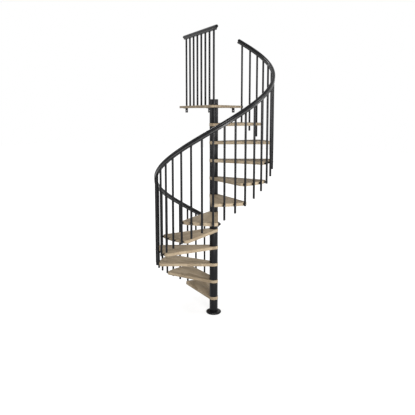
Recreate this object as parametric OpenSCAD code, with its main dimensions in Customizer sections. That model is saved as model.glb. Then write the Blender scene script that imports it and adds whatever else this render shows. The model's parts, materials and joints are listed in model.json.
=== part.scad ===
// Spiral staircase: wedge treads threaded on a central pole, balusters screwed to
// the tread edges, a helical handrail, and a landing with its own straight guard.
// The origin is on the floor at the pole's axis, and +Y points to the upper floor.

/* [Flight] */
// Number of treads below the landing
tread_count = 11; // [6:1:13]
// Height from one tread to the next
step_rise = 235; // [190:1:250]
// Turn from one tread to the next, in degrees
step_turn = 29.85; // [24:0.05:30.5]

/* [Treads] */
// Radius of the curved outer edge of a tread
tread_r = 738; // [600:1:900]
// Radius of a tread's two rounded outer corners
tread_corner = 40; // [10:1:48]
// Thickness of a tread
tread_t = 40; // [28:1:50]
// Angle between the two straight sides of a tread, in degrees
tread_wedge = 27.5; // [27:0.5:36]
// Diameter of the rounded eye around the pole
eye_d = 118; // [116:1:150]

/* [Pole] */
// Diameter of the sleeves that show between the treads
sleeve_d = 112; // [90:1:114]
// Diameter of the inner tube that carries the treads
column_d = 60; // [40:1:76]
// Wall of the inner tube
column_wall = 4; // [2:0.5:8]
// Diameter of the floor flange
flange_d = 206; // [180:1:260]
// Thickness of the floor flange
flange_t = 30; // [20:1:40]
// Height of the pole end above the landing
pole_end = 74; // [40:1:120]

/* [Balusters] */
// Diameter of a baluster
baluster_d = 25; // [16:1:30]
// Distance from a tread's outer edge to the balusters' axes
baluster_offset = 30; // [22:1:80]
// Diameter of the bosses that hold the balusters off the edge
boss_d = 22; // [12:1:24]
// Height from a baluster's foot to the middle of the handrail
baluster_span = 1148; // [900:1:1250]
// Balusters on each tread
per_tread = 3; // [2:1:4]

/* [Handrail] */
// Diameter of the round grip, the upper lobe
grip_d = 42; // [34:1:50]
// Height of the whole rail section, both lobes
rail_h = 62; // [54:1:76]
// Width of the lower lobe
carrier_w = 36; // [32:1:44]
// How far the rail runs on below the first baluster, in baluster spaces
rail_lead = 1.65; // [0.3:0.05:2.5]
// How far the rail runs on above the last baluster, in baluster spaces
rail_tail = 0.4; // [0.3:0.05:1.5]

/* [Landing] */
// Thickness of the landing board
landing_t = 32; // [25:1:45]
// How far the landing's front corner lies inside the treads' outer edge
landing_inset = 33; // [20:1:60]
// Length of the straight far edge that meets the upper floor
landing_edge = 1003; // [900:1:1300]
// Angle between the front edge and the far edge, in degrees
landing_corner = 86; // [80:1:90]

/* [Guard] */
// Number of balusters on the landing's guard
guard_count = 8; // [6:1:10]
// Height of the middle of the guard rail above the landing
guard_h = 996; // [850:1:1150]
// Distance from the guard's line to the pole's axis
guard_inset = 41; // [20:1:60]
// Distance along that line from the pole to the first baluster
guard_start = 86; // [68:1:110]
// Distance along that line from the last baluster to the landing's far corner
guard_end = 138; // [130:1:200]
// Overhang of the guard rail at each end
guard_overhang = 80; // [40:1:120]

/* [Hidden] */
$fn = 96;
clear = 0.25;
slip = 1;
fit_gap = 0.1;
cut = 1;
black = [0.10, 0.10, 0.11];
wood = [0.72, 0.60, 0.48];

eye_r = eye_d / 2;
bore_d = column_d + slip;
baluster_r = tread_r + baluster_offset;
space_turn = step_turn / per_tread;
space_rise = step_rise / per_tread;
landing_z = (tread_count + 1) * step_rise;
landing_reach = tread_r - landing_inset;
landing_side = sqrt(landing_reach * landing_reach - eye_r * eye_r);
slope = atan(space_rise / (baluster_r * space_turn * PI / 180));
rail_mid_z = step_rise - tread_t - (per_tread - 1) * space_rise + baluster_span;
last_baluster = tread_count * per_tread - 1;

// Direction of the landing's front edge, then of the side of a tread that faces upstairs
landing_dir = landing_corner;
function rear_dir(i) = landing_dir + tread_wedge - (tread_count + 1 - i) * step_turn;
function baluster_dir(k) = rear_dir(1) + (k - per_tread + 1) * space_turn;
function two(i) = i < 10 ? str("0", i) : str(i);
function polar(r, a) = [r * cos(a), r * sin(a)];

// Corners of the landing's far edge
landing_front = polar(eye_r, landing_dir - 90) + polar(landing_side, landing_dir);
landing_back = landing_front - [landing_edge, 0];
back_dir = atan2(landing_back[1], landing_back[0]);
back_reach = norm(landing_back);
guard_swing = 2;
guard_dir = back_dir - asin(eye_r / back_reach) + guard_swing;
guard_pitch = (back_reach - guard_end - guard_start) / (guard_count - 1);

// Rail section: round grip above, flat-bottomed carrier below, a groove between them
grip_r = grip_d / 2;
grip_mid = rail_h / 2 - grip_r;
corner_r = 4.5;
throat = 50;
groove = 6;
shoulder = 60;
grip_steps = 14;
corner_steps = 2;
ring_turn = 5;
carrier_x = carrier_w / 2 - corner_r;
carrier_top = grip_mid - grip_r * sin(throat) - groove;
carrier_low = -rail_h / 2 + corner_r;
function arc(cx, cy, r, a0, a1, n) =
    [for (i = [0 : n]) [cx + r * cos(a0 + (a1 - a0) * i / n), cy + r * sin(a0 + (a1 - a0) * i / n)]];
rail_section = concat(
    arc(0, grip_mid, grip_r, -throat, 180 + throat, grip_steps),
    arc(-carrier_x, carrier_top, corner_r, 180 - shoulder, 180, corner_steps),
    arc(-carrier_x, carrier_low, corner_r, 180, 270, corner_steps),
    arc(carrier_x, carrier_low, corner_r, -90, 0, corner_steps),
    arc(carrier_x, carrier_top, corner_r, 0, shoulder, corner_steps)
);

// Floor of the flange's socket, then the cap over the pole: thickness, rim and spigot
socket_floor = 4;
cap_t = 8;
cap_rim = 4;
cap_spigot = 14;

// Round flange with a rolled edge and a socket for the inner tube
module base_flange() {
    roll = flange_t / 2;
    color(black)
    rotate_extrude()
    difference() {
        union() {
            square([flange_d / 2 - roll, flange_t]);
            translate([flange_d / 2 - roll, roll]) circle(r = roll);
            square([flange_d / 2 - roll / 2, roll]);
        }
        translate([0, socket_floor]) square([bore_d / 2, flange_t]);
        translate([-roll, -roll]) square([flange_d, roll]);
    }
}

// Inner tube from the flange's socket to the cap
module column() {
    color(black)
    translate([0, 0, socket_floor])
    difference() {
        cylinder(d = column_d, h = landing_z + pole_end - cap_t - socket_floor);
        translate([0, 0, -cut]) cylinder(d = column_d - 2 * column_wall, h = landing_z + pole_end);
    }
}

module sleeve(z0, z1) {
    translate([0, 0, z0])
    difference() {
        cylinder(d = sleeve_d, h = z1 - z0);
        translate([0, 0, -cut]) cylinder(d = bore_d, h = z1 - z0 + 2 * cut);
    }
}

module spacer_sleeves() {
    color(black) {
        sleeve(flange_t, step_rise - tread_t);
        for (i = [1 : tread_count - 1]) sleeve(i * step_rise, (i + 1) * step_rise - tread_t);
        sleeve(tread_count * step_rise, landing_z - landing_t);
    }
}

module top_sleeve() {
    color(black) sleeve(landing_z, landing_z + pole_end - cap_t);
}

// Shallow cap with a spigot that drops into the inner tube
module pole_cap() {
    color(black)
    translate([0, 0, landing_z + pole_end - cap_t])
    rotate_extrude()
    union() {
        square([sleeve_d / 2, cap_t - cap_rim]);
        square([sleeve_d / 2 - cap_rim, cap_t]);
        intersection() {
            translate([sleeve_d / 2 - cap_rim, cap_t - cap_rim]) circle(r = cap_rim);
            square([sleeve_d / 2, cap_t]);
        }
        translate([0, -cap_spigot]) square([column_d / 2 - column_wall - clear, cap_spigot + cap_rim]);
    }
}

// What rounding takes off the corner between the upstairs side and the outer edge.
// The rounding's circle is a shade large, so that it crosses both edges at a clear angle.
module corner_waste(grow) {
    in_r = tread_r - tread_corner;
    in_y = eye_r - tread_corner;
    middle = [sqrt(in_r * in_r - in_y * in_y), in_y];
    out = tread_r + tread_corner;
    shade = 0.3;
    difference() {
        polygon([middle, [middle[0], out], [out, out], middle * out / in_r]);
        translate(middle) circle(r = tread_corner + shade + grow);
    }
}

// Plan of a tread with its upstairs side along +X: both sides touch the eye
module tread_plan(grow = 0) {
    far = 2 * tread_r;
    side_r = eye_r + grow;
    front = polar(side_r, -tread_wedge - 90);
    difference() {
        union() {
            circle(r = side_r);
            intersection() {
                circle(r = tread_r + grow, $fn = 360);
                polygon([[0, side_r], [far, side_r], front + polar(far, -tread_wedge), front]);
            }
        }
        circle(d = bore_d);
        corner_waste(grow);
        rotate(-tread_wedge) mirror([0, 1]) corner_waste(grow);
    }
}

module tread(i) {
    color(wood)
    translate([0, 0, i * step_rise - tread_t])
    rotate([0, 0, rear_dir(i)])
    linear_extrude(tread_t) tread_plan();
}

// Round baluster whose top is cut to the slope of the handrail
module baluster(k) {
    foot = step_rise - tread_t - (per_tread - 1 - k) * space_rise;
    top = baluster_span - (rail_h / 2 + clear) / cos(slope);
    rotate([0, 0, baluster_dir(k)])
    translate([baluster_r, 0, foot])
    difference() {
        cylinder(d = baluster_d, h = baluster_span);
        translate([0, 0, top]) rotate([slope, 0, 0])
            translate([-baluster_d * 2, -baluster_d * 2, 0]) cube(baluster_d * 4);
    }
}

module balusters(i) {
    color(black)
    for (n = [0 : per_tread - 1]) baluster((i - 1) * per_tread + n);
}

// Boss that holds a baluster off the wood, hollowed to the baluster's round
module boss() {
    root = tread_corner / 2;
    difference() {
        translate([tread_r - root, 0, 0]) rotate([0, 90, 0]) cylinder(d = boss_d, h = root + baluster_offset);
        translate([baluster_r, 0, -boss_d]) cylinder(d = baluster_d + 2 * clear, h = 2 * boss_d);
    }
}

// Bosses on one tread's edge; its front corner also holds the last baluster of the tread below
module bosses(i) {
    first = i == 1 ? 0 : -1;
    color(black)
    difference() {
        for (n = [first : per_tread - 1])
            translate([0, 0, i * step_rise - tread_t / 2])
            rotate([0, 0, baluster_dir((i - 1) * per_tread + n)])
            boss();
        translate([0, 0, i * step_rise - 2 * tread_t])
        rotate([0, 0, rear_dir(i)])
        linear_extrude(3 * tread_t) tread_plan(fit_gap);
    }
}

// Helical rail: the section is carried along the helix square to its slope
function rail_point(p, k) =
    let (a = baluster_dir(k), out = baluster_r + p[0], back = p[1] * sin(slope))
    [out * cos(a) + back * sin(a), out * sin(a) - back * cos(a), rail_mid_z + k * space_rise + p[1] * cos(slope)];

module handrail() {
    k0 = -rail_lead;
    k1 = last_baluster + rail_tail;
    rings = ceil((k1 - k0) * space_turn / ring_turn);
    m = len(rail_section);
    points = [for (i = [0 : rings], p = rail_section) rail_point(p, k0 + (k1 - k0) * i / rings)];
    sides = [for (i = [0 : rings - 1], j = [0 : m - 1], h = [0, 1])
        let (a = i * m + j, b = i * m + (j + 1) % m)
        h == 0 ? [a, b, b + m] : [a, b + m, a + m]];
    first = [for (j = [0 : m - 1]) m - 1 - j];
    last = [for (j = [0 : m - 1]) rings * m + j];
    color(black) polyhedron(points, concat(sides, [first, last]), 10);
}

// Triangular board with a rounded eye: front edge like a tread's, straight far edge
module landing_board() {
    // The sides leave the eye a shade inside its rim, so that each meets it at a clear corner
    shade = 0.5;
    side_r = eye_r - shade;
    tangent = polar(side_r, back_dir + acos(side_r / back_reach));
    color(wood)
    translate([0, 0, landing_z - landing_t])
    linear_extrude(landing_t)
    difference() {
        union() {
            circle(r = eye_r);
            polygon([polar(side_r, landing_dir - 90), landing_front, landing_back, tangent]);
        }
        circle(d = bore_d);
    }
}

// Steel angles under the far edge: one leg under the board, one against the floor's face
module landing_angles() {
    w = 40;
    leg = 65;
    t = 5;
    bolt_d = 11;
    bolt_drop = 39;
    end = 0.125;
    color(black)
    for (s = [end, 0.5, 1 - end])
        translate([landing_front[0] - s * landing_edge, landing_front[1], landing_z - landing_t])
        difference() {
            union() {
                translate([-w / 2, -t, -leg]) cube([w, t, leg]);
                translate([-w / 2, -leg, -t]) cube([w, leg, t]);
            }
            translate([0, cut, -bolt_drop]) rotate([90, 0, 0]) cylinder(d = bolt_d, h = t + 2 * cut);
        }
}

// Bracket from the landing to the last baluster: plate on the wood, arm, and a ring
module landing_baluster_bracket() {
    seat = polar(baluster_r, baluster_dir(last_baluster));
    reach = seat[1] - landing_front[1];
    margin = 2;
    plate_w = 40;
    plate_t = 5;
    arm_w = 22;
    ring_wall = 6.5;
    color(black)
    translate([seat[0], landing_front[1], landing_z - landing_t + margin])
    linear_extrude(landing_t - 2 * margin)
    difference() {
        union() {
            translate([-plate_w / 2, fit_gap]) square([plate_w, plate_t]);
            translate([-arm_w / 2, fit_gap]) square([arm_w, reach]);
            translate([0, reach]) circle(d = baluster_d + 2 * ring_wall);
        }
        translate([0, reach]) circle(d = baluster_d + 2 * clear);
    }
}

module on_guard_line(s) {
    place = polar(guard_inset, guard_dir - 90) + polar(s, guard_dir);
    translate([place[0], place[1], landing_z]) rotate([0, 0, guard_dir]) children();
}

module guard_balusters() {
    color(black)
    for (n = [0 : guard_count - 1])
        on_guard_line(guard_start + n * guard_pitch) cylinder(d = baluster_d, h = guard_h - rail_h / 2);
}

module guard_rail() {
    length = (guard_count - 1) * guard_pitch + 2 * guard_overhang;
    color(black)
    on_guard_line(guard_start - guard_overhang)
    translate([0, 0, guard_h]) rotate([90, 0, 90]) linear_extrude(length) polygon(rail_section);
}

// Half-round cap on the grip, standing on the XY plane
module grip_cap() {
    translate([0, 0, fit_gap])
    rotate_extrude()
    intersection() {
        circle(r = grip_r);
        square(grip_r);
    }
}

module handrail_cap(k, turn) {
    translate(rail_point([0, grip_mid], k))
    rotate([0, 0, baluster_dir(k)])
    rotate([slope + turn, 0, 0])
    grip_cap();
}

// Caps on both ends of both rails
module rail_end_caps() {
    color(black) {
        handrail_cap(-rail_lead, 90);
        handrail_cap(last_baluster + rail_tail, -90);
        on_guard_line(guard_start - guard_overhang)
            translate([0, 0, guard_h + grip_mid]) rotate([0, -90, 0]) grip_cap();
        on_guard_line(guard_start + (guard_count - 1) * guard_pitch + guard_overhang)
            translate([0, 0, guard_h + grip_mid]) rotate([0, 90, 0]) grip_cap();
    }
}

base_flange();
column();
spacer_sleeves();
top_sleeve();
pole_cap();
for (i = [1 : tread_count]) {
    tread(i);
    balusters(i);
    bosses(i);
}
handrail();
landing_board();
landing_angles();
landing_baluster_bracket();
guard_balusters();
guard_rail();
rail_end_caps();
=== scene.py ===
"""Dresses the spiral staircase: stave-wood treads, black pole, balusters, bosses and rails."""
import json
import logging
import math
from dataclasses import dataclass
from enum import Enum

import bmesh
import bpy
from mathutils import Matrix, Vector

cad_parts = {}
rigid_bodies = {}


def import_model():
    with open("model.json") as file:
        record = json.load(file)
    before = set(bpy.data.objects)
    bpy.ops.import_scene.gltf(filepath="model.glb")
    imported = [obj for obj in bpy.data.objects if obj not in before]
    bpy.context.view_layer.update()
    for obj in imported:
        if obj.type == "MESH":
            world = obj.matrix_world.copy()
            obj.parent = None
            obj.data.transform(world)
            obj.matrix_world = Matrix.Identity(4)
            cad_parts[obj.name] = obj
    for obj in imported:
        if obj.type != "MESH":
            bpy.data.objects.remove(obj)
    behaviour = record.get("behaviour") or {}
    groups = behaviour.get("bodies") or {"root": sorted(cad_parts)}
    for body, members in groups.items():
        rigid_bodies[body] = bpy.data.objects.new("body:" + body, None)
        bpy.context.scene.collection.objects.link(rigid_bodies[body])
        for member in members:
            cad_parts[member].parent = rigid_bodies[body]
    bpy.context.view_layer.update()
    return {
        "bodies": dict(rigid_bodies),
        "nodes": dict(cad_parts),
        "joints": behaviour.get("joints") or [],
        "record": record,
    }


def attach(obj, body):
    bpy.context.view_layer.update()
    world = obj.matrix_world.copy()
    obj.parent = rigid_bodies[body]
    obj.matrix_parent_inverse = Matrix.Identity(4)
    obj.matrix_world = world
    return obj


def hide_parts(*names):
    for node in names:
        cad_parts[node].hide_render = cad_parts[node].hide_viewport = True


LOG = logging.getLogger("staircase")
BODY = "root"
IMAGE_SIDE = 415
FULL_TURN = 360.0
HEXAGON_TURN = 60.0
CRISP_ANGLE = 40.0
FINE_CRISP_ANGLE = 35.0
Point2 = tuple[float, float]
Point3 = tuple[float, float, float]
Colour = tuple[float, float, float, float]
Ring = list[bmesh.types.BMVert]
ORIGIN: Point2 = (0.0, 0.0)
WHITE: Colour = (1.0, 1.0, 1.0, 1.0)


class Slot(Enum):
    """Material slots of the record."""

    STEEL = "black_steel"
    WOOD = "stave_wood"
    RAIL = "rail_plastic"


class Path(Enum):
    """Ways in which a rail section is carried along."""

    HELIX = "helix"
    LINE = "line"


# Node trees


class Signal:
    """One value of a node tree that takes part in Python arithmetic."""

    def __init__(self, bench: "NodeBench", socket: bpy.types.NodeSocket) -> None:
        """Keeps the socket and the bench that adds nodes for it."""
        self.bench = bench
        self.socket = socket

    def _math(self, operation: str, first: object, second: object = 0.0) -> "Signal":
        """Returns the value of a Math node with two values or signals."""
        return self.bench.add("ShaderNodeMath", {"operation": operation}, {0: first, 1: second})[0]

    def __add__(self, other: object) -> "Signal":
        """Returns self + other."""
        return self._math("ADD", self, other)

    __radd__ = __add__

    def __sub__(self, other: object) -> "Signal":
        """Returns self - other."""
        return self._math("SUBTRACT", self, other)

    def __rsub__(self, other: object) -> "Signal":
        """Returns other - self."""
        return self._math("SUBTRACT", other, self)

    def __mul__(self, other: object) -> "Signal":
        """Returns self * other."""
        return self._math("MULTIPLY", self, other)

    __rmul__ = __mul__

    def __truediv__(self, other: object) -> "Signal":
        """Returns self / other."""
        return self._math("DIVIDE", self, other)

    def floor(self) -> "Signal":
        """Returns the whole part below the value."""
        return self._math("FLOOR", self)

    def fraction(self) -> "Signal":
        """Returns the part after the point."""
        return self._math("FRACT", self)

    def cosine(self) -> "Signal":
        """Returns the cosine of the value in radians."""
        return self._math("COSINE", self)

    def sine(self) -> "Signal":
        """Returns the sine of the value in radians."""
        return self._math("SINE", self)

    def least(self, other: object) -> "Signal":
        """Returns the smaller of two values."""
        return self._math("MINIMUM", self, other)

    def most(self, other: object) -> "Signal":
        """Returns the larger of two values."""
        return self._math("MAXIMUM", self, other)

    def below(self, limit: float) -> "Signal":
        """Returns 1 where the value is under the limit."""
        return self._math("LESS_THAN", self, limit)


class NodeBench:
    """Adds nodes to one tree."""

    def __init__(self, tree: bpy.types.NodeTree) -> None:
        """Keeps the tree."""
        self.tree = tree

    def add(self, kind: str, settings: dict[str, object], inputs: dict[object, object]) -> list[Signal]:
        """Adds one node.

        Args:
            kind: The node's type.
            settings: Properties to set before the sockets.
            inputs: Signals or plain values by socket name or number.

        Returns:
            The node's outputs, in order.
        """
        node = self.tree.nodes.new(kind)
        for key, value in settings.items():
            setattr(node, key, value)
        for key, value in inputs.items():
            if isinstance(value, Signal):
                self.tree.links.new(value.socket, node.inputs[key])
            else:
                node.inputs[key].default_value = value
        return [Signal(self, socket) for socket in node.outputs]

    def vector(self, x: object, y: object, z: object) -> Signal:
        """Returns a vector of three values."""
        return self.add("ShaderNodeCombineXYZ", {}, {0: x, 1: y, 2: z})[0]


class Bench(NodeBench):
    """Adds the shader nodes of one material, or of the world."""

    def __init__(self, owner: bpy.types.ID, output: str = "ShaderNodeOutputMaterial") -> None:
        """Empties the owner's tree and adds its output.

        Args:
            owner: The new material or world.
            output: The output node's type.
        """
        owner.use_nodes = True
        super().__init__(owner.node_tree)
        self.owner = owner
        self.tree.nodes.clear()
        self.output = self.tree.nodes.new(output)

    def attribute(self, name: str) -> list[Signal]:
        """Returns a mesh attribute as colour, vector and single value."""
        return self.add("ShaderNodeAttribute", {"attribute_name": name}, {})

    def object_place(self) -> Signal:
        """Returns the place in Object coordinates."""
        return self.add("ShaderNodeTexCoord", {}, {})[3]

    def split(self, vector: Signal) -> list[Signal]:
        """Returns the three parts of a vector."""
        return self.add("ShaderNodeSeparateXYZ", {}, {0: vector})

    def blend(self, factor: object, first: object, second: object) -> Signal:
        """Mixes two colours.

        Args:
            factor: 0 for the first colour, 1 for the second.
            first: The first colour.
            second: The second colour.

        Returns:
            The mixed colour.
        """
        settings = {"data_type": "RGBA", "blend_type": "MIX"}
        return self.add("ShaderNodeMix", settings, {0: factor, 6: first, 7: second})[2]

    def noise(self, where: Signal, scale: float, detail: float, rough: float) -> Signal:
        """Returns fractal noise from 0 to 1 at a place."""
        inputs = {"Vector": where, "Scale": scale, "Detail": detail, "Roughness": rough}
        return self.add("ShaderNodeTexNoise", {}, inputs)[0]

    def band(self, value: Signal, low: float, high: float) -> Signal:
        """Returns value carried from low..high to 0..1 and clamped."""
        inputs = {"Value": value, "From Min": low, "From Max": high}
        return self.add("ShaderNodeMapRange", {"clamp": True}, inputs)[0]

    def scatter(self, where: Signal) -> Signal:
        """Returns a random value from 0 to 1 for each cell."""
        return self.add("ShaderNodeTexWhiteNoise", {"noise_dimensions": "3D"}, {"Vector": where})[0]

    def bump(self, height: Signal, depth: float, strength: float) -> Signal:
        """Returns a normal raised by a height, depth in metres."""
        inputs = {"Height": height, "Distance": depth, "Strength": strength}
        return self.add("ShaderNodeBump", {}, inputs)[0]

    def seen(self) -> Signal:
        """Returns 1 for rays that show the background: straight, mirrored or let through."""
        rays = {ray.socket.name: ray for ray in self.add("ShaderNodeLightPath", {}, {})}
        return rays["Is Camera Ray"].most(rays["Is Glossy Ray"]).most(rays["Is Transmission Ray"])

    def end(self, shader: Signal) -> None:
        """Ends the tree in a shader."""
        self.tree.links.new(shader.socket, self.output.inputs["Surface"])

    def surface(self, inputs: dict[object, object]) -> bpy.types.Material:
        """Ends the material in a Principled surface with these sockets and returns it."""
        self.end(self.add("ShaderNodeBsdfPrincipled", {}, inputs)[0])
        return self.owner


class GeometryTree(NodeBench):
    """A geometry tree made in the script, with named sizes."""

    KINDS = {
        int: "NodeSocketInt",
        float: "NodeSocketFloat",
        Vector: "NodeSocketVector",
        bpy.types.Material: "NodeSocketMaterial",
    }

    def __init__(self, name: str, sizes: dict[str, type]) -> None:
        """Makes the tree with its inputs and a last one for the finish.

        Args:
            name: The tree's name.
            sizes: The type of each named input.
        """
        super().__init__(bpy.data.node_groups.new(name, "GeometryNodeTree"))
        face = self.tree.interface
        face.new_socket(name="Geometry", in_out="INPUT", socket_type="NodeSocketGeometry")
        self.keys = {}
        for key, kind in (sizes | {"Finish": bpy.types.Material}).items():
            socket = face.new_socket(name=key, in_out="INPUT", socket_type=self.KINDS[kind])
            self.keys[key] = socket.identifier
        face.new_socket(name="Geometry", in_out="OUTPUT", socket_type="NodeSocketGeometry")
        self.source = self.tree.nodes.new("NodeGroupInput")
        self.sink = self.tree.nodes.new("NodeGroupOutput")

    def size(self, key: str) -> Signal:
        """Returns a named input inside the tree."""
        return Signal(self, self.source.outputs[key])

    def end(self, geometry: Signal) -> None:
        """Realizes the instances, sets the finish and ends the tree.

        Args:
            geometry: The geometry that the tree has made.
        """
        real = self.add("GeometryNodeRealizeInstances", {}, {0: geometry})[0]
        inputs = {"Geometry": real, "Material": self.size("Finish")}
        done = self.add("GeometryNodeSetMaterial", {}, inputs)[0]
        self.tree.links.new(done.socket, self.sink.inputs[0])

    def make(self, name: str, source: bpy.types.Mesh, values: dict[str, object],
             sharp: float = FINE_CRISP_ANGLE) -> bpy.types.Mesh:
        """Runs the tree on a source mesh.

        Args:
            name: The result's name.
            source: The mesh that the tree starts from, which is removed.
            values: The value of each named input.
            sharp: Edges over this angle, in degrees, stay crisp.

        Returns:
            The result as a plain mesh.
        """
        host = bpy.data.objects.new(f"{name}_source", source)
        bpy.context.scene.collection.objects.link(host)
        build = host.modifiers.new("build", "NODES")
        build.node_group = self.tree
        for key, value in values.items():
            build[self.keys[key]] = value
        graph = bpy.context.evaluated_depsgraph_get()
        mesh = bpy.data.meshes.new_from_object(host.evaluated_get(graph), depsgraph=graph)
        mesh.name = name
        host.modifiers.remove(build)
        bpy.data.objects.remove(host)
        bpy.data.meshes.remove(source)
        mesh.shade_smooth()
        mesh.set_sharp_from_angle(angle=math.radians(sharp))
        return mesh


def helix_array() -> GeometryTree:
    """Makes the tree that repeats a piece up the flight.

    Returns:
        The tree, whose source mesh is the piece, facing +X.
    """
    tree = GeometryTree("helix_array", {
        "Count": int, "Radius": float, "First Turn": float, "Turn": float,
        "First Height": float, "Rise": float, "Group": int, "Group Rise": float,
    })
    index = tree.add("GeometryNodeInputIndex", {}, {})[0]
    angle = tree.size("First Turn") + index * tree.size("Turn")
    group = (index / tree.size("Group")).floor()
    climb = group * tree.size("Group Rise") + index * tree.size("Rise")
    x = tree.size("Radius") * angle.cosine()
    y = tree.size("Radius") * angle.sine()
    place = tree.vector(x, y, tree.size("First Height") + climb)
    points = tree.add("GeometryNodePoints", {}, {"Count": tree.size("Count"), "Position": place})[0]
    spin = tree.add("FunctionNodeEulerToRotation", {}, {0: tree.vector(0.0, 0.0, angle)})[0]
    inputs = {"Points": points, "Instance": tree.size("Geometry"), "Rotation": spin}
    tree.end(tree.add("GeometryNodeInstanceOnPoints", {}, inputs)[0])
    return tree


def line_array() -> GeometryTree:
    """Makes the tree that repeats a piece along a straight line.

    Returns:
        The tree, whose source mesh is the piece.
    """
    tree = GeometryTree("line_array", {"Count": int, "Start": Vector, "Step": Vector})
    inputs = {"Count": tree.size("Count"), "Start Location": tree.size("Start"), "Offset": tree.size("Step")}
    line = tree.add("GeometryNodeMeshLine", {"mode": "OFFSET"}, inputs)[0]
    inputs = {"Points": line, "Instance": tree.size("Geometry")}
    tree.end(tree.add("GeometryNodeInstanceOnPoints", {}, inputs)[0])
    return tree


def section_sweep(path: Path) -> GeometryTree:
    """Makes the tree that carries a rail section along a path.

    Args:
        path: The kind of path.

    Returns:
        The tree, whose source mesh is the section.
    """
    if path is Path.HELIX:
        tree = GeometryTree("helix_sweep", {
            "Resolution": int, "Rotations": float, "Radius": float, "Height": float,
            "First Turn": Vector, "First Place": Vector,
        })
        inputs = {
            "Resolution": tree.size("Resolution"), "Rotations": tree.size("Rotations"),
            "Start Radius": tree.size("Radius"), "End Radius": tree.size("Radius"),
            "Height": tree.size("Height"), "Reverse": True,
        }
        curve = tree.add("GeometryNodeCurveSpiral", {}, inputs)[0]
        inputs = {
            "Geometry": curve,
            "Translation": tree.size("First Place"), "Rotation": tree.size("First Turn"),
        }
        curve = tree.add("GeometryNodeTransform", {}, inputs)[0]
    else:
        tree = GeometryTree("line_sweep", {"Start": Vector, "End": Vector})
        inputs = {"Start": tree.size("Start"), "End": tree.size("End")}
        curve = tree.add("GeometryNodeCurvePrimitiveLine", {}, inputs)[0]
    upright = tree.add("GeometryNodeSetCurveNormal", {"mode": "Z_UP"}, {"Curve": curve})[0]
    section = tree.add("GeometryNodeMeshToCurve", {}, {"Mesh": tree.size("Geometry")})[0]
    inputs = {"Curve": upright, "Profile Curve": section, "Fill Caps": True}
    tree.end(tree.add("GeometryNodeCurveToMesh", {}, inputs)[0])
    return tree


# Finishes


@dataclass(frozen=True)
class StaveWood:
    """Oiled wood glued up from narrow staves, with its grain along the tread."""

    name: str = "stave_wood"
    pale: Colour = (0.484, 0.396, 0.278, 1.0)
    deep: Colour = (0.308, 0.238, 0.158, 1.0)
    pore: Colour = (0.200, 0.130, 0.080, 1.0)
    stave_width: float = 0.044
    stave_length: float = 0.46
    seam: float = 0.0003
    streak_scale: Point2 = (2.4, 38.0)
    pore_scale: Point2 = (9.0, 260.0)
    run_seed: Point2 = (3.1, 7.7)
    tone_seed: float = 1.3
    tone_shift: float = 19.0
    streak_weight: float = 0.75
    tone_weight: float = 0.42
    figure_range: Point2 = (0.30, 0.86)
    pore_range: Point2 = (0.30, 0.42)
    pore_strength: float = 0.45
    seam_strength: float = 0.6
    relief: float = 0.0006
    relief_strength: float = 0.35
    roughness: float = 0.46
    specular: float = 0.08

    def fibres(self, bench: Bench, place: list[Signal], start: Signal, scale: Point2) -> Signal:
        """Stretches a place along the grain.

        Args:
            bench: The material's bench.
            place: The place along, across and through the board.
            start: Where this stave's own grain starts.
            scale: How close the grain lies along the stave and across it.

        Returns:
            The stretched place.
        """
        along, across, depth = place
        return bench.vector(along * scale[0] + start, across * scale[1], depth * scale[1])

    def material(self) -> bpy.types.Material:
        """Makes the wood, laid out in the piece's own grain attribute.

        Returns:
            The material.
        """
        bench = Bench(bpy.data.materials.new(self.name))
        place = bench.split(bench.attribute("grain")[1])
        rows = place[1] / self.stave_width
        row = rows.floor()
        runs = place[0] / self.stave_length + bench.scatter(bench.vector(row, *self.run_seed))
        tone = bench.scatter(bench.vector(row, runs.floor(), self.tone_seed))
        start = tone * self.tone_shift
        long_fibres = self.fibres(bench, place, start, self.streak_scale)
        fine_fibres = self.fibres(bench, place, start, self.pore_scale)
        streak = bench.noise(long_fibres, 1.0, detail=5.0, rough=0.62)
        fine = bench.noise(fine_fibres, 1.0, detail=3.0, rough=0.55)
        figure = bench.band(streak * self.streak_weight + tone * self.tone_weight, *self.figure_range)
        pores = 1.0 - bench.band(fine, *self.pore_range)
        side = rows.fraction()
        end = runs.fraction()
        seam_side = side.least(1.0 - side).below(self.seam / self.stave_width)
        seam_end = end.least(1.0 - end).below(self.seam / self.stave_length)
        seam = 1.0 - (1.0 - seam_side) * (1.0 - seam_end)
        colour = bench.blend(figure, self.deep, self.pale)
        colour = bench.blend(pores * self.pore_strength, colour, self.pore)
        relief = fine * 0.6 + streak * 0.4 - seam * 0.5
        return bench.surface({
            "Base Color": bench.blend(seam * self.seam_strength, colour, self.pore),
            "Roughness": self.roughness + streak * 0.16 + pores * 0.10,
            "Specular IOR Level": self.specular,
            "Normal": bench.bump(relief, self.relief, self.relief_strength),
        })


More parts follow.
